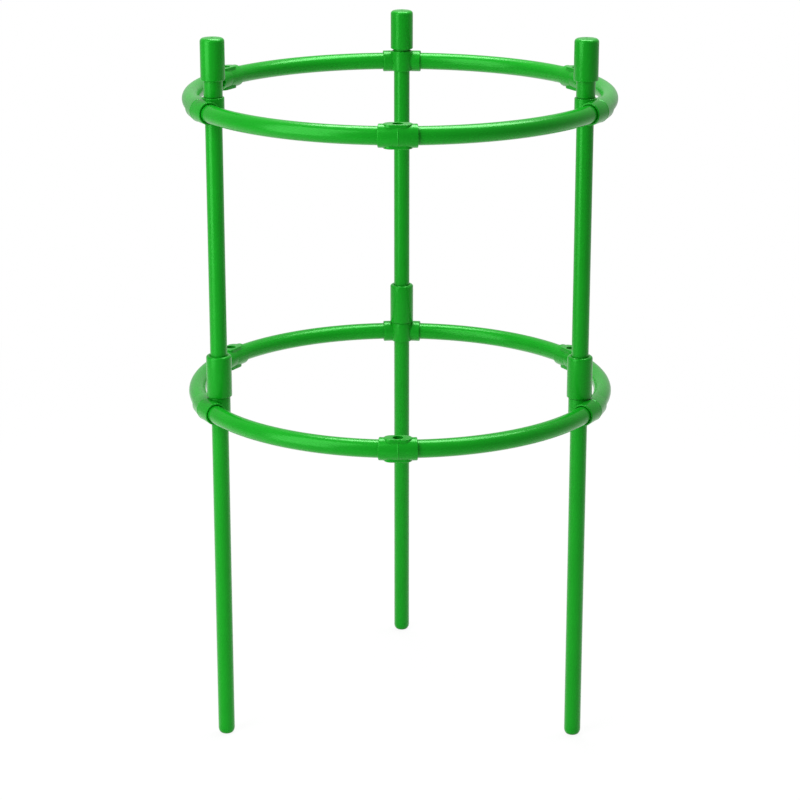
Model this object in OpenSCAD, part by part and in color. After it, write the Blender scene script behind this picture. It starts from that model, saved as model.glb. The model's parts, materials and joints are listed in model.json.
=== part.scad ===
// Plant support: two rings of plugged tube on three stakes, each stake in two lengths.
// The middle of the rings is on the Z axis and the feet stand on Z = 0. -Y is the front.

/* [Stakes] */
// Diameter of the stakes
stake_d = 10; // [8:0.5:12]
// Length of each lower stake
lower_stake_l = 228.5; // [180:0.5:300]
// Length of each upper stake, with its head
upper_stake_l = 188.5; // [150:0.5:260]
// Length of the head at the top of each upper stake
head_l = 23; // [18:0.5:32]
// How far the head stands out from the stake all round
head_step = 0.5; // [0.3:0.1:1.5]
// Height of the rounded foot
foot_l = 3.5; // [1:0.5:8]
// Diameter of the flat under the foot
foot_flat_d = 5.5; // [2:0.5:7]
// Bevel on the stake ends that sit in a socket
end_bevel = 0.6; // [0.2:0.1:1.2]

/* [Rings] */
// Radius of each ring, to the middle of its tube
ring_r = 123; // [100:1:160]
// Diameter of the ring tube
tube_d = 10.5; // [8:0.5:12]
// Angle from the back stake to the joiner on either side of it
joiner_angle = 61; // [45:1:75]
// Angle of the two front stakes, measured forwards from the X axis
front_stake_angle = 23.6; // [15:0.1:35]

/* [Ring fittings] */
// Wall of the sockets round the ring tube
socket_wall = 1.25; // [1:0.05:2.5]
// Depth of the tube sockets in the stake hubs
hub_socket_l = 6.2; // [4:0.1:12]
// Depth of the tube sockets in the joiners
joiner_socket_l = 5.1; // [4:0.1:12]
// Wall between the end of a tube socket and the stake's hole
stop_wall = 0.6; // [0.4:0.1:3]
// Wall of the stake hub round its hole
hub_wall = 1.25; // [1:0.05:3]
// How far the back stake stands inside the middle of the ring tube
back_inset = 3; // [1:0.5:9]
// How far the front stakes stand inside the middle of the ring tube
front_inset = 7; // [1:0.5:9]
// Height of the stake hub above the middle of the ring tube
hub_up = 7.2; // [6:0.1:14]
// Depth of the stake hub below the middle of the ring tube
hub_down = 5.5; // [5:0.1:14]
// Length of the joiner's oblong boss along the ring
boss_l = 16.4; // [12:0.1:20]
// Width of the joiner's boss across the ring
boss_w = 9; // [8.6:0.1:12]
// Height of the joiner's boss
boss_h = 13.6; // [13:0.1:20]
// Diameter of the hole down through the joiner's boss
joiner_hole_d = 6; // [4:0.5:8]
// Bevel on the edges of the fittings
edge_bevel = 0.4; // [0.1:0.1:0.8]

/* [Couplers] */
// Depth of the socket at each end of a coupler
coupler_socket_l = 12; // [8:0.5:20]
// Thickness of the web between the two sockets
coupler_web = 1; // [0.8:0.1:4]
// Wall of the coupler
coupler_wall = 2.35; // [1.5:0.05:4]
// Rounding of the coupler's upper rim
coupler_round = 1.4; // [0.4:0.1:1.6]

/* [Caps] */
// Length of head that shows under a cap pushed right home
cap_reveal = 0.8; // [0.5:0.1:5]
// Thickness of the cap's closed end
cap_end = 2.1; // [1.5:0.1:6]
// Wall of the cap
cap_wall = 1.45; // [1:0.05:3]
// Rounding of the cap's closed end
cap_round = 2; // [0.5:0.1:4]
// How far the two front caps stand above the pushed-home position
front_cap_raise = 8.6; // [0:0.1:14]

/* [Clearances] */
// Gap all round between a stake and the hub that slides on it
slide_gap = 0.15; // [0.05:0.01:0.4]
// Gap all round between a tube or stake end and its socket
plug_gap = 0.1; // [0.05:0.01:0.3]
// Gap all round between a head and its cap
cap_gap = 0.1; // [0.05:0.01:0.3]
// Gap between an end and the bottom of its socket
seat_gap = 0.2; // [0.1:0.05:0.5]
// Gap between the top of a hub and the coupler or head above it
rest_gap = 0.3; // [0.2:0.05:1]

/* [Hidden] */
$fn = 64;
plastic = [0.11, 0.59, 0.14];
// Flats along the curve of the rounded foot
foot_steps = 6;
// How far a cut runs past the face that it opens
over = 1;

stake_r = stake_d / 2;
head_r = stake_r + head_step;
tube_r = tube_d / 2;
hole_r = stake_r + slide_gap;
tube_socket_r = tube_r + plug_gap;
socket_r = tube_socket_r + socket_wall;
hub_r = hole_r + hub_wall;
// Length of a cut that runs right through any ring fitting
through_l = 2 * (max(hub_up, hub_down, boss_h / 2, socket_r) + over);

// Where a tube socket ends, as a distance and an angle from the middle of its fitting
stop_l = hole_r + stop_wall;
function along_ring(l) = l / ring_r * 180 / PI;
stop_angle = along_ring(stop_l);
plug_angle = along_ring(stop_l + seat_gap);

stake_socket_r = stake_r + plug_gap;
coupler_r = stake_socket_r + coupler_wall;
coupler_l = 2 * coupler_socket_l + coupler_web;

cap_bore_r = head_r + cap_gap;
cap_r = cap_bore_r + cap_wall;
cap_socket_l = head_l - cap_reveal;
cap_l = cap_socket_l + cap_end;

// Heights, from the feet up
coupler_z = lower_stake_l + seat_gap - coupler_socket_l;
upper_stake_z = coupler_z + coupler_socket_l + coupler_web + seat_gap;
upper_stake_top = upper_stake_z + upper_stake_l;
head_z = upper_stake_top - head_l;
cap_home_z = upper_stake_top + seat_gap - cap_socket_l;

// Each ring stays just under the coupler or the head that stops it
RINGS = [
    ["lower", coupler_z - rest_gap - hub_up],
    ["upper", head_z - rest_gap - hub_up],
];

// Angles round the ring, counted from +X towards +Y
back = 90;
front = 270;
left = 180 + front_stake_angle;
right = 360 - front_stake_angle;
left_joiner = back + joiner_angle;
right_joiner = back - joiner_angle;

// Each stake's name, its angle, its inset and how far its cap stands above home
STAKES = [
    ["back", back, back_inset, 0],
    ["left", left, front_inset, front_cap_raise],
    ["right", right, front_inset, front_cap_raise],
];
JOINERS = [["left", left_joiner], ["front", front], ["right", right_joiner]];

// Each arc's name, and the angles of the fittings at its two ends
ARCS = [
    ["back_left", back, left_joiner],
    ["left", left_joiner, left],
    ["front_left", left, front],
    ["front_right", front, right],
    ["right", right, right_joiner + 360],
    ["back_right", right_joiner, back],
];

// Puts a turned piece on the axis of a stake
module on_stake(angle, inset, z) {
    rotate([0, 0, angle]) translate([ring_r - inset, 0, z]) children();
}

// A round bar from z = 0 up, with a bevel at either end
module bevelled_bar(r, l, low_bevel, high_bevel) {
    rotate_extrude() polygon([
        [0, 0],
        [r - low_bevel, 0],
        [r, low_bevel],
        [r, l - high_bevel],
        [r - high_bevel, l],
        [0, l],
    ]);
}

// An oblong bar from z = 0 up, long in Y, with a bevel at either end
module oblong_bar(r, l, h, bevel) {
    reach = l / 2 - r;
    for (side = [-1, 1])
        translate([0, side * reach, 0]) bevelled_bar(r, h, bevel, bevel);
    rotate([90, 0, 0]) linear_extrude(height = 2 * reach, center = true) polygon([
        [bevel - r, 0],
        [r - bevel, 0],
        [r, bevel],
        [r, h - bevel],
        [r - bevel, h],
        [bevel - r, h],
        [-r, h - bevel],
        [-r, bevel],
    ]);
}

// A round bar from z = 0 up, with its upper rim rounded
module round_topped_bar(r, l, low_bevel, rim) {
    rotate_extrude() {
        polygon([[0, 0], [r - low_bevel, 0], [r, low_bevel], [r, l - rim], [0, l - rim]]);
        square([r - rim, l]);
        translate([r - rim, l - rim]) circle(r = rim);
    }
}

// A stretch of the ring's own curve, as a round section between two angles
module ring_sweep(r, from, to) {
    rotate([0, 0, from]) rotate_extrude(angle = to - from) translate([ring_r, 0]) circle(r = r);
}

// The outside of one tube socket, as far as the upright plane through the fitting's middle, where two of
// them meet in a mitre. It is straight, and touches the ring's curve at the mouth.
module socket_half(half_l) {
    mouth_angle = atan(half_l / ring_r);
    intersection() {
        rotate([0, 0, mouth_angle]) translate([ring_r, 0, 0]) rotate([90, 0, 0])
            bevelled_bar(socket_r, half_l + socket_r, edge_bevel, edge_bevel);
        translate([ring_r - 2 * socket_r, 0, -2 * socket_r])
            cube([4 * socket_r, half_l + socket_r, 4 * socket_r]);
    }
}

// A ring fitting at angle 0: two tube sockets, the barrel given as its child, and an upright hole through it
module fitting(half_l, upright_hole_r, inset) {
    mouth_angle = atan(half_l / ring_r);
    difference() {
        union() {
            for (side = [0, 1])
                mirror([0, side, 0]) socket_half(half_l);
            translate([ring_r - inset, 0, 0]) children();
        }
        translate([ring_r - inset, 0, 0]) cylinder(r = upright_hole_r, h = through_l, center = true);
        for (side = [0, 1])
            mirror([0, side, 0])
                ring_sweep(tube_socket_r, stop_angle, mouth_angle + along_ring(over));
    }
}

module ring_hub(angle, inset, ring_z) {
    color(plastic) translate([0, 0, ring_z]) rotate([0, 0, angle])
        fitting(stop_l + hub_socket_l, hole_r, inset)
            translate([0, 0, -hub_down]) bevelled_bar(hub_r, hub_down + hub_up, edge_bevel, edge_bevel);
}

module ring_joiner(angle, ring_z) {
    color(plastic) translate([0, 0, ring_z]) rotate([0, 0, angle])
        fitting(stop_l + joiner_socket_l, joiner_hole_d / 2, 0)
            translate([0, 0, -boss_h / 2]) oblong_bar(boss_w / 2, boss_l, boss_h, edge_bevel);
}

module ring_arc(from, to, ring_z) {
    color(plastic) translate([0, 0, ring_z]) ring_sweep(tube_r, from + plug_angle, to - plug_angle);
}

module lower_stake(angle, inset) {
    flat_r = foot_flat_d / 2;
    foot = [for (i = [0:foot_steps]) let (t = 90 * i / foot_steps)
        [flat_r + (stake_r - flat_r) * sin(t), foot_l * (1 - cos(t))]];
    shank = [
        [stake_r, lower_stake_l - end_bevel],
        [stake_r - end_bevel, lower_stake_l],
        [0, lower_stake_l],
        [0, 0],
    ];
    color(plastic) on_stake(angle, inset, 0) rotate_extrude() polygon(concat(foot, shank));
}

module upper_stake(angle, inset) {
    color(plastic) on_stake(angle, inset, upper_stake_z) {
        bevelled_bar(stake_r, upper_stake_l - end_bevel, end_bevel, 0);
        translate([0, 0, upper_stake_l - head_l]) bevelled_bar(head_r, head_l, 0, end_bevel);
    }
}

module coupler(angle, inset) {
    color(plastic) on_stake(angle, inset, coupler_z) difference() {
        round_topped_bar(coupler_r, coupler_l, edge_bevel, coupler_round);
        translate([0, 0, -over]) cylinder(r = stake_socket_r, h = coupler_socket_l + over);
        translate([0, 0, coupler_socket_l + coupler_web])
            cylinder(r = stake_socket_r, h = coupler_socket_l + over);
    }
}

module cap(angle, inset, raise) {
    color(plastic) on_stake(angle, inset, cap_home_z + raise) difference() {
        round_topped_bar(cap_r, cap_l, edge_bevel, cap_round);
        translate([0, 0, -over]) cylinder(r = cap_bore_r, h = cap_socket_l + over);
    }
}

for (s = STAKES) {
    lower_stake(s[1], s[2]);
    coupler(s[1], s[2]);
    upper_stake(s[1], s[2]);
    cap(s[1], s[2], s[3]);
}

for (ring = RINGS) {
    for (s = STAKES)
        ring_hub(s[1], s[2], ring[1]);
    for (j = JOINERS)
        ring_joiner(j[1], ring[1]);
    for (a = ARCS)
        ring_arc(a[1], a[2], ring[1]);
}
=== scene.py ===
# %% [markdown]
# # A plant support of rings and stakes
# The support is a kit: two rings of plugged tube slide on three upright stakes, each stake is two
# rods joined by a coupler, and a cap closes its top. Every piece is moulded in the same green plastic.
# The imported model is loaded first. It is the frame that fixes where each piece is and how big it is,
# so the pieces below read their sizes from it instead of being fitted by eye.

# %% Load the frame
import json
import math

import bmesh
import bpy
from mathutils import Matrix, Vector


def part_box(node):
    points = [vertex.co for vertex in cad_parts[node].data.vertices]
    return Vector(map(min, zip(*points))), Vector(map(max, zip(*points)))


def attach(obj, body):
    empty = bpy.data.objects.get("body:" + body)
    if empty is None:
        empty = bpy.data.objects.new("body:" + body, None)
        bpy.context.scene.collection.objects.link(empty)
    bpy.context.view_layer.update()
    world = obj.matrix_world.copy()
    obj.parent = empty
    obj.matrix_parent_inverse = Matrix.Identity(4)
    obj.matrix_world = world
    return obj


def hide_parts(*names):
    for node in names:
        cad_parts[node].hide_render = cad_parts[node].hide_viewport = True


MM = 0.001

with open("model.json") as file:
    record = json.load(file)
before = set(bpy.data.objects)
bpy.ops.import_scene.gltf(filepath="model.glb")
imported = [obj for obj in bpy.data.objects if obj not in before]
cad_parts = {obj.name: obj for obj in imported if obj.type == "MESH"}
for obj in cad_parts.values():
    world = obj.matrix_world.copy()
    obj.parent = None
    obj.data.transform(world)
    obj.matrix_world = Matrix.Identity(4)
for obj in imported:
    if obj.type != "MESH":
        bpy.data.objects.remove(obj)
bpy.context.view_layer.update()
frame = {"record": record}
bpy.context.scene.view_settings.view_transform = "Standard"

# %% [markdown]
# ## The camera
# The photograph is taken from the front, a little above the upper ring, with a long lens, because the
# stakes hardly lean together. Its distance, height and tilt come from fitting the two ring ellipses and
# the three stakes. The frame is square, so the lens and the sensor width alone set what it takes in.

# %% Camera
camera_place = (13.4 * MM, -1439.5 * MM, 647.8 * MM)
camera_tilt = math.radians(16.36)
camera_turn = math.radians(0.534)
LENS_MM = 111.0
SENSOR_MM = 36.0
LENS_SHIFT = -0.05

bpy.ops.object.select_all(action="DESELECT")
bpy.ops.object.camera_add(location=camera_place, rotation=(math.pi / 2 - camera_tilt, 0, camera_turn))
camera = bpy.context.object
camera.data.lens = LENS_MM
camera.data.sensor_width = SENSOR_MM
camera.data.shift_y = LENS_SHIFT
bpy.context.scene.camera = camera
print("Camera", round(camera.location.length, 3), "m from the middle of the feet")

# %% [markdown]
# ## Sizes from the frame
# A lathe-turned piece needs a radius and heights, and a box round the piece gives both. The ring's radius
# comes from the arc on the left, which passes its leftmost point. The rest, such as walls and edge
# roundings, are small sizes of the real mouldings, and each is named where it is first needed.

# %% Sizes
STAKES = ("back", "left", "right")
JOINERS = ("left", "front", "right")
RINGS = ("lower", "upper")


def box_size(node):
    """Width, depth and height of a node."""
    low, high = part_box(node)
    return high - low


def box_middle(node):
    """The middle of a node's box."""
    low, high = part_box(node)
    return (low + high) / 2


stake_r = box_size("lower_stake_back").x / 2
head_r = box_size("upper_stake_back").x / 2
coupler_r = box_size("coupler_back").x / 2
cap_r = box_size("cap_back").x / 2
lower_stake_l = box_size("lower_stake_back").z
upper_stake_l = box_size("upper_stake_back").z
coupler_l = box_size("coupler_back").z
cap_l = box_size("cap_back").z

tube_r = box_size("lower_ring_arc_left").z / 2
ring_r = -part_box("lower_ring_arc_left")[0].x - tube_r
ring_z = {ring: box_middle(f"{ring}_ring_arc_left").z for ring in RINGS}
stake_at = {stake: box_middle(f"lower_stake_{stake}") for stake in STAKES}
print("Ring radius", round(ring_r / MM, 2), "mm, rings at", [round(z / MM, 1) for z in ring_z.values()])

# %% [markdown]
# ## Wiring a finish
# A finish is a small program of nodes. Writing it as sums is easier to follow than wiring node by node,
# so one class wraps an output socket: adding or multiplying two of them adds the Math node that does it.
# Any other node comes from the one method below, which sets the node up first and then fills its sockets.

# %% Socket wrapper
class Wire:
    """One output socket of a node tree, or the bare tree where no socket is given."""

    def __init__(self, tree, socket=None):
        self.tree = tree
        self.socket = socket

    def node(self, kind, settings, inputs, output=0):
        """Adds a node, sets it up, fills its sockets with values or wires, and gives one of its outputs."""
        made = self.tree.nodes.new(kind)
        for key, value in settings.items():
            setattr(made, key, value)
        for key, value in inputs.items():
            if isinstance(value, Wire):
                self.tree.links.new(value.socket, made.inputs[key])
            else:
                made.inputs[key].default_value = value
        return Wire(self.tree, made.outputs[output] if made.outputs else None)

    def beside(self, output):
        """Another output of the node that this wire comes from."""
        return Wire(self.tree, self.socket.node.outputs[output])

    def maths(self, operation, first, second):
        return self.node("ShaderNodeMath", {"operation": operation}, {0: first, 1: second})

    def __add__(self, other):
        return self.maths("ADD", self, other)

    __radd__ = __add__

    def __mul__(self, other):
        return self.maths("MULTIPLY", self, other)

    __rmul__ = __mul__

    def __pow__(self, other):
        return self.maths("POWER", self, other)


def new_tree(name):
    """An empty material and the wire that starts it."""
    material = bpy.data.materials.new(name)
    material.use_nodes = True
    material.node_tree.nodes.clear()
    return material, Wire(material.node_tree)


print("Socket wrapper ready")

# %% [markdown]
# ## Drawn lines
# The rods are drawn, and carry faint lines along their length: up the stakes, and round the rings. A noise
# turns into lines when its coordinates are squeezed the way that they run. For the rings the coordinates
# are bent first, so that one of them follows the tube. The moulded fittings have no lines.

# %% Ways that the lines run
LINE_SQUEEZE = 0.03


def up_the_stake(tree, place):
    """Coordinates that are squeezed along Z, so that a pattern on them is drawn out up a stake."""
    return tree.node("ShaderNodeMapping", {}, {"Vector": place, "Scale": (1.0, 1.0, LINE_SQUEEZE)})


def round_the_ring(tree, place):
    """Coordinates that run along the ring, out from its middle and up, squeezed along the ring."""
    x = tree.node("ShaderNodeSeparateXYZ", {}, {"Vector": place})
    y = x.beside("Y")
    z = x.beside("Z")
    along = tree.maths("ARCTAN2", y, x) * (ring_r * LINE_SQUEEZE)
    out = (x * x + y * y) ** 0.5
    return tree.node("ShaderNodeCombineXYZ", {}, {"X": along, "Y": out, "Z": z})


def without_lines(tree, place):
    """Coordinates as they are, for a moulding without lines."""
    return place


print("Lines are drawn out", round(1 / LINE_SQUEEZE), "times")

# %% [markdown]
# ## The green plastic
# All pieces are one semi-gloss green. Looked at closely, no moulding is one flat colour: the pigment
# swirls a little, the lines show faintly, and the skin has a fine grain that breaks up the gloss. The
# pigment lies close to the surface, so a highlight stays green until it grazes the edge, which the tint of
# the specular layer gives. One function makes the finish for each way that the lines run.

# %% Green plastic
LIGHT_GREEN = (0.005, 0.265, 0.010, 1.0)
DEEP_GREEN = (0.003, 0.220, 0.007, 1.0)
HIGHLIGHT_GREEN = (0.18, 1.0, 0.22, 1.0)
PLASTIC_IOR = 1.5

SWIRL_PER_M = 55.0
SWIRL_DETAIL = 3.0
GRAIN_PER_M = 2600.0
LINES_PER_M = 1100.0
FINE_DETAIL = 2.0
SWIRL_IN_COLOUR = 0.8
LINES_IN_COLOUR = 0.2
SWIRL_IN_GLOSS = 0.06
LINES_IN_GLOSS = 0.05
GRAIN_HEIGHT = 0.03 * MM
GRAIN_STRENGTH = 0.25

MIX_FIRST_COLOUR = 6
MIX_SECOND_COLOUR = 7
MIX_COLOUR_OUT = 2


def green_plastic(name, line_way, line_depth, gloss):
    """The green finish, with lines that run one way and take a share of the relief."""
    material, tree = new_tree(name)
    place = tree.node("ShaderNodeTexCoord", {}, {}, "Object")
    noise = "ShaderNodeTexNoise"
    swirl = tree.node(noise, {}, {"Vector": place, "Scale": SWIRL_PER_M, "Detail": SWIRL_DETAIL})
    grain = tree.node(noise, {}, {"Vector": place, "Scale": GRAIN_PER_M, "Detail": FINE_DETAIL})
    drawn = line_way(tree, place)
    lines = tree.node(noise, {}, {"Vector": drawn, "Scale": LINES_PER_M, "Detail": FINE_DETAIL})
    colour = tree.node(
        "ShaderNodeMix",
        {"data_type": "RGBA"},
        {
            "Factor": swirl * SWIRL_IN_COLOUR + lines * LINES_IN_COLOUR,
            MIX_FIRST_COLOUR: DEEP_GREEN,
            MIX_SECOND_COLOUR: LIGHT_GREEN,
        },
        MIX_COLOUR_OUT,
    )
    relief = tree.node(
        "ShaderNodeBump",
        {},
        {
            "Height": grain * (1 - line_depth) + lines * line_depth,
            "Strength": GRAIN_STRENGTH,
            "Distance": GRAIN_HEIGHT,
        },
    )
    shader = tree.node(
        "ShaderNodeBsdfPrincipled",
        {},
        {
            "Base Color": colour,
            "Roughness": gloss + swirl * SWIRL_IN_GLOSS + lines * LINES_IN_GLOSS,
            "Normal": relief,
            "IOR": PLASTIC_IOR,
            "Specular Tint": HIGHLIGHT_GREEN,
        },
    )
    tree.node("ShaderNodeOutputMaterial", {}, {"Surface": shader})
    print("Finish", name, "with", len(material.node_tree.nodes), "nodes")
    return material


stake_green = green_plastic("stake_green", up_the_stake, line_depth=0.5, gloss=0.20)
ring_green = green_plastic("ring_green", round_the_ring, line_depth=0.5, gloss=0.19)
moulded_green = green_plastic("moulded_green", without_lines, line_depth=0.2, gloss=0.20)

# %% [markdown]
# ## Turning a piece
# Stakes, couplers and caps are round, so each is made as on a lathe. A disc is laid at the start of the
# outline, and then extruded and scaled to each next radius and height. Because the disc closes the start
# and travels along to close the end, the piece is solid from the first step. A spin of a drawn profile
# would do as well, but it leaves a seam to weld.

# %% Lathe
ROUND_SIDES = 96
SMOOTH_BELOW = math.radians(32)


def rounding(middle_r, middle_z, radius, start, end, steps):
    """Points of a round edge, from one angle to another, in degrees from straight out."""
    points = []
    for i in range(steps + 1):
        a = math.radians(start + (end - start) * i / steps)
        points.append((middle_r + radius * math.cos(a), middle_z + radius * math.sin(a)))
    return points


def turn(name, outline):
    """A closed round piece on the Z axis, through the outline's pairs of radius and height."""
    radius, height = outline[0]
    bpy.ops.object.select_all(action="DESELECT")
    bpy.ops.mesh.primitive_circle_add(vertices=ROUND_SIDES, radius=radius, fill_type="NGON")
    piece = bpy.context.object
    piece.name = name
    bpy.ops.object.mode_set(mode="EDIT")
    bpy.ops.mesh.select_all(action="SELECT")
    bpy.ops.transform.translate(value=(0, 0, height))
    for next_radius, next_height in outline[1:]:
        share = next_radius / radius
        bpy.ops.mesh.extrude_region_move(TRANSFORM_OT_translate={"value": (0, 0, next_height - height)})
        bpy.ops.transform.resize(value=(share, share, 1), center_override=(0, 0, next_height))
        radius = next_radius
        height = next_height
    bpy.ops.mesh.select_all(action="SELECT")
    bpy.ops.mesh.normals_make_consistent(inside=False)
    bpy.ops.object.mode_set(mode="OBJECT")
    bpy.ops.object.shade_smooth_by_angle(angle=SMOOTH_BELOW)
    print("Turned", name, "with", len(piece.data.polygons), "faces")
    return piece


print("Lathe ready, with", ROUND_SIDES, "sides to a round")

# %% [markdown]
# ## Placing a piece
# What repeats is made once, as a master on the origin, and copied. Each copy has a mesh of its own, and
# the move to its place is applied, so that its object sits at the origin as the frame's own nodes do. It
# then gets its finish and the body that it moves with. The master goes once its copies stand.

# %% Placing
def set_in_place(master, name, place, turned=0.0):
    """A copy of a finished piece with its own mesh, carried to its place, with the move applied."""
    bpy.ops.object.select_all(action="DESELECT")
    master.select_set(True)
    bpy.context.view_layer.objects.active = master
    bpy.ops.object.duplicate(linked=False)
    piece = bpy.context.object
    piece.name = name
    piece.location = place
    piece.rotation_euler = (0, 0, turned)
    bpy.ops.object.transform_apply(location=True, rotation=True, scale=False)
    return piece


def dress(piece, node, body, finish):
    """Gives a piece its finish, and lets it stand for a node of the frame and move with its body."""
    piece.data.materials.clear()
    piece.data.materials.append(finish)
    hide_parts(node)
    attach(piece, body)


def stand_at_stake(master, node, stake, body, finish):
    """A dressed copy of a turned piece, stood on a stake's axis at the height of its node."""
    x, y, _ = stake_at[stake]
    piece = set_in_place(master, f"{node}_turned", (x, y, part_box(node)[0].z))
    dress(piece, node, body, finish)


def put_away(master):
    """Removes a master or a tool that has done its work."""
    bpy.data.objects.remove(master)


print("Pieces are placed on", len(STAKES), "stakes and", len(RINGS), "rings")

# %% [markdown]
# ## The stakes
# Each stake is two solid rods. The lower one ends in a foot that is rounded off to a small flat, so that
# it goes into soil without splitting. The upper one has a slightly thicker head, which stops the upper
# ring and holds the cap. Both fit their sockets with a bevelled end, which hides in the coupler.

# %% Stakes
foot_h = 3.5 * MM
foot_flat_r = 2.75 * MM
end_bevel = 0.6 * MM
head_l = 23 * MM
head_edge = 0.2 * MM
FOOT_STEPS = 10
HEAD_EDGE_STEPS = 3

foot = []
for i in range(FOOT_STEPS + 1):
    a = math.radians(90 * i / FOOT_STEPS)
    foot.append((foot_flat_r + (stake_r - foot_flat_r) * math.sin(a), foot_h * (1 - math.cos(a))))
lower_end = [(stake_r, lower_stake_l - end_bevel), (stake_r - end_bevel, lower_stake_l)]
lower_master = turn("lower_stake_master", foot + lower_end)

head_z = upper_stake_l - head_l
upper_outline = [(stake_r - end_bevel, 0), (stake_r, end_bevel), (stake_r, head_z)]
upper_outline += rounding(head_r - head_edge, head_z + head_edge, head_edge, -90, 0, HEAD_EDGE_STEPS)
upper_outline += [(head_r, upper_stake_l - end_bevel), (head_r - end_bevel, upper_stake_l)]
upper_master = turn("upper_stake_master", upper_outline)

for stake in STAKES:
    node = f"lower_stake_{stake}"
    stand_at_stake(lower_master, node, stake, "lower_stakes", stake_green)
    node = f"upper_stake_{stake}"
    stand_at_stake(upper_master, node, stake, node, stake_green)
put_away(lower_master)
put_away(upper_master)

# %% [markdown]
# ## The couplers
# A coupler is a sleeve with a socket at either end and a thin web between them. Its upper lip is well
# rounded and its lower edge is crisp. Each socket has a lead-in, a small bevel that guides the rod in, and
# that is what shows as a dark line round the rod. The outline starts on the underside of the web, goes
# down the lower socket, up the outside and down into the upper socket.

# %% Couplers
push_gap = 0.1 * MM
rod_socket_r = stake_r + push_gap
rod_lead_in = 0.5 * MM
coupler_socket_l = 12 * MM
coupler_lip = 1.4 * MM
crisp_edge = 0.4 * MM
CRISP_STEPS = 4
LIP_STEPS = 8

coupler_outline = [
    (rod_socket_r, coupler_socket_l),
    (rod_socket_r, rod_lead_in),
    (rod_socket_r + rod_lead_in, 0),
]
coupler_outline += rounding(coupler_r - crisp_edge, crisp_edge, crisp_edge, -90, 0, CRISP_STEPS)
coupler_outline += rounding(coupler_r - coupler_lip, coupler_l - coupler_lip, coupler_lip, 0, 90, LIP_STEPS)
coupler_outline += [
    (rod_socket_r + rod_lead_in, coupler_l),
    (rod_socket_r, coupler_l - rod_lead_in),
    (rod_socket_r, coupler_l - coupler_socket_l),
]
coupler_master = turn("coupler_master", coupler_outline)
for stake in STAKES:
    node = f"coupler_{stake}"
    stand_at_stake(coupler_master, node, stake, "lower_stakes", moulded_green)
put_away(coupler_master)

# %% [markdown]
# ## The caps
# A cap is a blind sleeve with a rounded, faintly domed end. In the middle of the end is a small pit, the
# gate where the plastic ran into the mould. The outline starts at the bottom of the bore, comes out round
# the mouth, up the outside, over the dome and down into the pit.

# %% Caps
cap_bore_r = head_r + push_gap
cap_bore_l = 22.2 * MM
cap_lead_in = 0.4 * MM
cap_mouth_edge = 0.5 * MM
cap_round = 2 * MM
dome_h = 0.25 * MM
gate_r = 0.8 * MM
gate_floor_r = 0.64 * MM
gate_middle_r = 0.24 * MM
gate_depth = 0.5 * MM
CAP_ROUND_STEPS = 10
DOME_STEPS = 4

shoulder_r = cap_r - cap_round
shoulder_z = cap_l - dome_h
dome = []
for i in range(1, DOME_STEPS + 1):
    r = shoulder_r + (gate_r - shoulder_r) * i / DOME_STEPS
    dome.append((r, shoulder_z + dome_h * (1 - (r / shoulder_r) ** 2)))
cap_outline = [(cap_bore_r, cap_bore_l), (cap_bore_r, cap_lead_in), (cap_bore_r + cap_lead_in, 0)]
cap_outline += rounding(cap_r - cap_mouth_edge, cap_mouth_edge, cap_mouth_edge, -90, 0, CRISP_STEPS)
cap_outline += rounding(shoulder_r, shoulder_z - cap_round, cap_round, 0, 90, CAP_ROUND_STEPS)
cap_outline += dome + [(gate_floor_r, cap_l - gate_depth), (gate_middle_r, cap_l - gate_depth)]
cap_master = turn("cap_master", cap_outline)
for stake in STAKES:
    node = f"cap_{stake}"
    stand_at_stake(cap_master, node, stake, node, moulded_green)
put_away(cap_master)

# %% [markdown]
# ## Bending a tube
# A ring's tube is bent to the ring's own radius. A filled circle is stood up at the start of the arc and
# spun about the ring's middle, which is just how a bent tube looks. The doubles are merged and the faces
# turned outwards afterwards, because a spin can leave them inside out.

# %% Bent tube
TUBE_SIDES = 64
SPIN_STEP = math.radians(1.25)
weld = 0.001 * MM


def bend_tube(name, radius, start, end):
    """A solid tube of the ring's own curve between two angles, at height zero."""
    bpy.ops.object.select_all(action="DESELECT")
    bpy.ops.mesh.primitive_circle_add(
        vertices=TUBE_SIDES,
        radius=radius,
        fill_type="NGON",
        location=(ring_r * math.cos(start), ring_r * math.sin(start), 0),
        rotation=(math.pi / 2, 0, start),
    )
    piece = bpy.context.object
    piece.name = name
    bpy.ops.object.transform_apply(location=True, rotation=True, scale=False)
    bpy.ops.object.mode_set(mode="EDIT")
    bpy.ops.mesh.select_all(action="SELECT")
    steps = math.ceil(abs(end - start) / SPIN_STEP)
    bpy.ops.mesh.spin(steps=steps, angle=start - end, center=(0, 0, 0), axis=(0, 0, 1))
    bpy.ops.mesh.select_all(action="SELECT")
    bpy.ops.mesh.remove_doubles(threshold=weld)
    bpy.ops.mesh.normals_make_consistent(inside=False)
    bpy.ops.object.mode_set(mode="OBJECT")
    return piece


def finish_modifier(piece, kind, **settings):
    """Adds a modifier, sets it and applies it."""
    bpy.ops.object.select_all(action="DESELECT")
    piece.select_set(True)
    bpy.context.view_layer.objects.active = piece
    bpy.ops.object.modifier_add(type=kind)
    modifier = piece.modifiers[-1]
    for key, value in settings.items():
        setattr(modifier, key, value)
    bpy.ops.object.modifier_apply(modifier=modifier.name)


print("Tube bender ready, with", TUBE_SIDES, "sides to a tube")

# %% [markdown]
# ## The ring arcs
# Each ring is six lengths of tube between its fittings. The fittings' angles come from the stakes and from
# the holes of the joiners, which the frame's record lists. An arc's two ends hide in the sockets, just
# short of the stop inside, and get a small bevel from a modifier.

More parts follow.
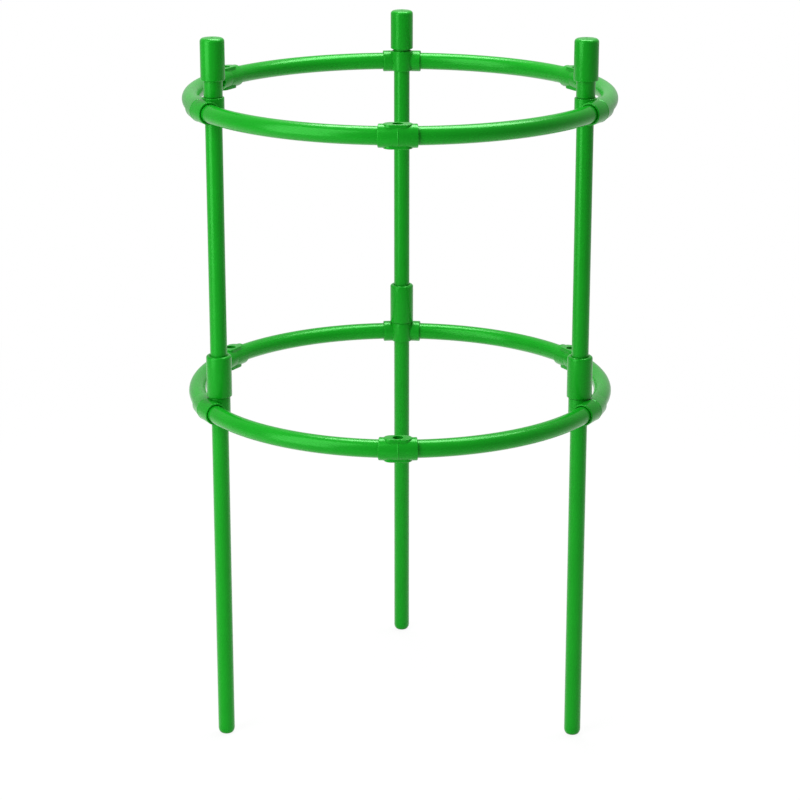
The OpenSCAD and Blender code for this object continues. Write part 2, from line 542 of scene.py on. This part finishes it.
# %% Ring arcs
stop_l = 5.75 * MM
seat_gap = 0.2 * MM
tube_bevel = 0.4 * MM
TUBE_BEVEL_STEPS = 2
RIM_ANGLE = math.radians(60)
ARCS = {
    "back_left": ("hub_back", "joiner_left"),
    "left": ("joiner_left", "hub_left"),
    "front_left": ("hub_left", "joiner_front"),
    "front_right": ("joiner_front", "hub_right"),
    "right": ("hub_right", "joiner_right"),
    "back_right": ("joiner_right", "hub_back"),
}


def angle_of(point):
    """The direction of a point, seen from the middle of the ring."""
    return math.atan2(point[1], point[0])


holes = {mount["name"]: mount for mount in frame["record"]["mounts"] if "joiner_hole" in mount["name"]}
fitting_angle = {f"hub_{stake}": angle_of(stake_at[stake]) for stake in STAKES}
for joiner in JOINERS:
    fitting_angle[f"joiner_{joiner}"] = angle_of(holes[f"lower_joiner_hole_{joiner}"]["pos_m"])

plug_angle = (stop_l + seat_gap) / ring_r
for arc, (from_fitting, to_fitting) in ARCS.items():
    start = fitting_angle[from_fitting]
    sweep = (fitting_angle[to_fitting] - start) % (2 * math.pi)
    tube = bend_tube(f"{arc}_arc_master", tube_r, start + plug_angle, start + sweep - plug_angle)
    finish_modifier(
        tube,
        "BEVEL",
        width=tube_bevel,
        segments=TUBE_BEVEL_STEPS,
        limit_method="ANGLE",
        angle_limit=RIM_ANGLE,
    )
    bpy.ops.object.shade_smooth_by_angle(angle=SMOOTH_BELOW)
    for ring in RINGS:
        node = f"{ring}_ring_arc_{arc}"
        placed = set_in_place(tube, f"{node}_bent", (0, 0, ring_z[ring]))
        dress(placed, node, f"{ring}_ring", ring_green)
    print("Bent", arc, "through", round(math.degrees(sweep - 2 * plug_angle), 1), "degrees")
    put_away(tube)

# %% [markdown]
# ## The ring fittings
# The stake hubs and the joiners share one design: two short straight sockets that meet in a mitre, and an
# upright part with a hole through it. On a hub that is a round barrel for the stake, set inside the ring.
# On a joiner it is an oblong boss with a thin hole, in line with the tube. A fitting is modelled where the
# ring crosses the X axis, and turned to its place later.

# %% Fitting sizes
slide_gap = 0.15 * MM
fitting_wall = 1.25 * MM
tube_socket_r = tube_r + push_gap
socket_r = tube_socket_r + fitting_wall

hole_r = stake_r + slide_gap
hub_r = hole_r + fitting_wall
hub_low = -5.5 * MM
hub_high = 7.2 * MM
hub_grip_l = 6.2 * MM
hub_half_l = stop_l + hub_grip_l

boss_l = 16.4 * MM
boss_w = 9 * MM
boss_top = holes["lower_joiner_hole_front"]["dims"]["length_mm"] / 2 * MM
joiner_hole_r = holes["lower_joiner_hole_front"]["dims"]["r_mm"] * MM
joiner_grip_l = 5.1 * MM
joiner_half_l = stop_l + joiner_grip_l
print("Sockets are", round(2 * socket_r / MM, 2), "mm thick and the hubs", round(2 * hub_r / MM, 2), "mm")

# %% [markdown]
# ### Sockets and upright parts
# Both start as a round bar with bevelled rims. A socket's bar is cut off in the plane of the mitre, its cut
# edge is raised a little, and a mirror makes the other half. That keeps both sides equal and leaves the
# fine seam that shows round the outside. The boss is a bar too, whose two halves are moved apart.

# %% Bars
seam_half_w = 0.3 * MM
seam_h = 0.14 * MM
seam_merge = 0.06 * MM
touch = 0.01 * MM
EDGE_STEPS = 5


def pick_edges(piece, test):
    """Selects the edges whose middle passes a test."""
    bpy.ops.mesh.select_mode(type="EDGE")
    bpy.ops.mesh.select_all(action="DESELECT")
    mesh = bmesh.from_edit_mesh(piece.data)
    for edge in mesh.edges:
        edge.select_set(test((edge.verts[0].co + edge.verts[1].co) / 2))
    mesh.select_flush_mode()
    bmesh.update_edit_mesh(piece.data)


def add_bar(name, radius, length, middle, rotation):
    """A round bar as a primitive at its size and place, open in edit mode."""
    bpy.ops.object.select_all(action="DESELECT")
    bpy.ops.mesh.primitive_cylinder_add(
        vertices=ROUND_SIDES, radius=radius, depth=length, location=middle, rotation=rotation
    )
    bar = bpy.context.object
    bar.name = name
    bpy.ops.object.transform_apply(location=True, rotation=True, scale=False)
    bpy.ops.object.mode_set(mode="EDIT")
    return bar


def socket_pair(name, half_l, mouth_angle):
    """Two mitred sockets, with a fine seam round the mitre."""
    along = Vector((-math.sin(mouth_angle), math.cos(mouth_angle), 0))
    mouth = Vector((ring_r * math.cos(mouth_angle), ring_r * math.sin(mouth_angle), 0))
    bar_l = half_l + socket_r
    pair = add_bar(name, socket_r, bar_l, mouth - along * bar_l / 2, (-math.pi / 2, 0, mouth_angle))
    pick_edges(pair, lambda point: (point - mouth).dot(along) > -touch)
    bpy.ops.mesh.bevel(offset=crisp_edge, segments=EDGE_STEPS, affect="EDGES")
    bpy.ops.mesh.select_all(action="SELECT")
    bpy.ops.mesh.bisect(plane_co=(0, 0, 0), plane_no=(0, 1, 0), clear_inner=True)
    bpy.ops.mesh.select_all(action="SELECT")
    bpy.ops.mesh.bisect(plane_co=(0, seam_half_w, 0), plane_no=(0, 1, 0))
    pick_edges(pair, lambda point: point.y < touch)
    bpy.ops.transform.shrink_fatten(value=seam_h)
    bpy.ops.object.mode_set(mode="OBJECT")
    finish_modifier(pair, "MIRROR", use_axis=(False, True, False), merge_threshold=seam_merge)
    return pair


def upright_bar(name, radius, length, inset, low, high):
    """A bar with bevelled rims, round where its length is twice its radius and oblong where it is more."""
    half_side = math.pi / ROUND_SIDES
    bar = add_bar(name, radius, high - low, (ring_r - inset, 0, (low + high) / 2), (0, 0, half_side))
    for side in (1, -1):
        pick_edges(bar, lambda point: point.y * side > touch)
        bpy.ops.transform.translate(value=(0, side * (length / 2 - radius), 0))
    pick_edges(bar, lambda point: point.z < low + touch or point.z > high - touch)
    bpy.ops.mesh.bevel(offset=crisp_edge, segments=EDGE_STEPS, affect="EDGES")
    bpy.ops.object.mode_set(mode="OBJECT")
    return bar


print("The seam stands", round(seam_h / MM, 2), "mm proud")

# %% [markdown]
# ### Cutting tools
# Holes and sockets are cut with tools of their own shape. Each tool flares out at the mouth, so one cut
# gives both the hole and its lead-in. The socket's tool is bent like the tube that goes into it.

# %% Cutting tools
hub_lead_in = 0.6 * MM
boss_lead_in = 0.15 * MM
mouth_lead_in = 0.45 * MM
over = 1 * MM


def hole_tool(name, radius, flare, inset, high):
    """The round tool that cuts an upright hole, flared past the upper face."""
    flare_r = radius + flare + over
    tool = turn(name, [(radius, -socket_r - over), (radius, high - flare), (flare_r, high + over)])
    placed = set_in_place(tool, f"{name}_placed", (ring_r - inset, 0, 0))
    put_away(tool)
    return placed


def tube_tool(name, mouth_angle, side):
    """The bent tool that cuts one tube socket, flared at its mouth."""
    end = side * (mouth_angle - mouth_lead_in / ring_r)
    tool = bend_tube(name, tube_socket_r, side * stop_l / ring_r, end)
    end_middle = Vector((ring_r * math.cos(end), ring_r * math.sin(end), 0))
    along = side * Vector((-math.sin(end), math.cos(end), 0))
    flare = mouth_lead_in + over
    share = (tube_socket_r + flare) / tube_socket_r
    bpy.ops.object.mode_set(mode="EDIT")
    pick_edges(tool, lambda point: (point - end_middle).dot(along) > -touch)
    bpy.ops.mesh.select_mode(type="FACE")
    bpy.ops.mesh.extrude_region_move(TRANSFORM_OT_translate={"value": along * flare})
    bpy.ops.transform.resize(value=(share, share, share), center_override=end_middle + along * flare)
    bpy.ops.object.mode_set(mode="OBJECT")
    return tool


print("Lead-ins of", [round(size / MM, 2) for size in (hub_lead_in, boss_lead_in, mouth_lead_in)], "mm")

# %% [markdown]
# ### Putting a fitting together
# The upright part is joined to the sockets, and the hole and the two sockets are cut last, so that nothing
# fills them again. The edges are smoothed only below the slope of the seam, or the seam would blur into a
# broad shade. The back hub sits nearer the tube than the front ones, so there are two hubs and one joiner.

# %% Hubs and joiners
SEAM_STAYS_CRISP = math.radians(22)


def moulded_fitting(name, half_l, bar_r, bar_l, upright_hole_r, flare, inset, low, high):
    """Joins the upright part to a pair of sockets and cuts the hole and the sockets."""
    mouth_angle = math.atan(half_l / ring_r)
    fitting = socket_pair(name, half_l, mouth_angle)
    tools = [
        ("UNION", upright_bar(f"{name}_upright", bar_r, bar_l, inset, low, high)),
        ("DIFFERENCE", hole_tool(f"{name}_hole", upright_hole_r, flare, inset, high)),
        ("DIFFERENCE", tube_tool(f"{name}_near_socket", mouth_angle, 1)),
        ("DIFFERENCE", tube_tool(f"{name}_far_socket", mouth_angle, -1)),
    ]
    for operation, tool in tools:
        finish_modifier(fitting, "BOOLEAN", operation=operation, object=tool, solver="EXACT")
        put_away(tool)
    bpy.ops.object.shade_smooth_by_angle(angle=SEAM_STAYS_CRISP)
    print("Moulded", name, "with", len(fitting.data.polygons), "faces")
    return fitting


def stake_hub(name, stake):
    """A hub whose barrel stands as far inside the ring as the given stake."""
    return moulded_fitting(
        name,
        half_l=hub_half_l,
        bar_r=hub_r,
        bar_l=2 * hub_r,
        upright_hole_r=hole_r,
        flare=hub_lead_in,
        inset=ring_r - Vector(stake_at[stake][:2]).length,
        low=hub_low,
        high=hub_high,
    )


back_hub = stake_hub("back_hub_master", "back")
front_hub = stake_hub("front_hub_master", "left")
joiner_master = moulded_fitting(
    "joiner_master",
    half_l=joiner_half_l,
    bar_r=boss_w / 2,
    bar_l=boss_l,
    upright_hole_r=joiner_hole_r,
    flare=boss_lead_in,
    inset=0,
    low=-boss_top,
    high=boss_top,
)

master_of = {f"joiner_{joiner}": joiner_master for joiner in JOINERS}
master_of.update({"hub_back": back_hub, "hub_left": front_hub, "hub_right": front_hub})
for ring in RINGS:
    for fitting, master in master_of.items():
        node = f"{ring}_ring_{fitting}"
        placed = set_in_place(master, f"{node}_moulded", (0, 0, ring_z[ring]), fitting_angle[fitting])
        dress(placed, node, f"{ring}_ring", moulded_green)
for master in (back_hub, front_hub, joiner_master):
    put_away(master)

# %% [markdown]
# ## The floor
# The photograph is a plain white studio shot, so the floor is white where the camera sees it. Near the
# support a tenth of what is seen is the lit grey floor, so that the feet keep a faint shadow, and further
# out it goes over into pure white. A reflection sees the white more dimly, or the bends of the rings, which
# are seen at a grazing angle, would wash out to grey.

# %% Floor
WHITE = (1.0, 1.0, 1.0, 1.0)
FLOOR_GREY = (0.8, 0.8, 0.8, 1.0)
REFLECTED_SHARE = 0.45
WHITE_NEAR = 0.9
SHADOW_REACH = 0.15
WHITE_REACH = 0.9
FLOOR_SIZE = 30


def background_rays(tree):
    """One for a ray from the camera or through glass, less for a reflection, and nought for other light."""
    camera_ray = tree.node("ShaderNodeLightPath", {}, {}, "Is Camera Ray")
    seen = tree.maths("MAXIMUM", camera_ray, camera_ray.beside("Is Transmission Ray"))
    return tree.maths("MAXIMUM", seen, camera_ray.beside("Is Glossy Ray") * REFLECTED_SHARE)


floor_finish, tree = new_tree("white_floor")
place = tree.node("ShaderNodeTexCoord", {}, {}, "Object")
reach = tree.node("ShaderNodeVectorMath", {"operation": "LENGTH"}, {0: place}, "Value")
whiteness = tree.node(
    "ShaderNodeMapRange",
    {"interpolation_type": "SMOOTHSTEP"},
    {"Value": reach, "From Min": SHADOW_REACH, "From Max": WHITE_REACH, "To Min": WHITE_NEAR, "To Max": 1.0},
)
lit = tree.node("ShaderNodeBsdfDiffuse", {}, {"Color": FLOOR_GREY})
white = tree.node("ShaderNodeEmission", {}, {"Color": WHITE, "Strength": 1.0})
mix = tree.node("ShaderNodeMixShader", {}, {"Fac": background_rays(tree) * whiteness, 1: lit, 2: white})
tree.node("ShaderNodeOutputMaterial", {}, {"Surface": mix})

bpy.ops.object.select_all(action="DESELECT")
bpy.ops.mesh.primitive_plane_add(size=FLOOR_SIZE)
floor = bpy.context.object
floor.name = "floor"
floor.data.materials.append(floor_finish)
print("Floor", FLOOR_SIZE, "m wide")

# %% [markdown]
# ## The light
# The surroundings are white to the camera and fill the shaded side. A tall soft panel stands high to the
# left of the camera and draws the light band down each stake and along the front of the rings. A second
# one hangs above and behind, a little to the right, and draws the thin bright line on top of the rings.
# Between the two the rings reflect nothing bright, which gives the dark line.

# %% Light
FILL_STRENGTH = 0.29
PANEL_AIM = Vector((0, 0, 0.35))

world = bpy.data.worlds.new("studio")
bpy.context.scene.world = world
world.use_nodes = True
world.node_tree.nodes.clear()
tree = Wire(world.node_tree)
fill = tree.node("ShaderNodeBackground", {}, {"Color": WHITE, "Strength": FILL_STRENGTH})
white = tree.node("ShaderNodeBackground", {}, {"Color": WHITE, "Strength": 1.0})
mix = tree.node("ShaderNodeMixShader", {}, {"Fac": background_rays(tree), 1: fill, 2: white})
tree.node("ShaderNodeOutputWorld", {}, {"Surface": mix})


def soft_panel(name, place, width, height, power):
    """A rectangular lamp, in metres and watts, that faces the middle of the support."""
    bpy.ops.object.light_add(type="AREA", location=place)
    panel = bpy.context.object
    panel.name = name
    panel.rotation_euler = (PANEL_AIM - Vector(place)).to_track_quat("-Z", "Y").to_euler()
    panel.data.shape = "RECTANGLE"
    panel.data.size = width
    panel.data.size_y = height
    panel.data.energy = power
    print("Panel", name, "of", power, "W")


soft_panel("left_panel", (-0.76, -0.64, 0.72), width=0.7, height=1.55, power=16.5)
soft_panel("back_panel", (0.15, 0.32, 1.35), width=1.0, height=0.5, power=20.0)
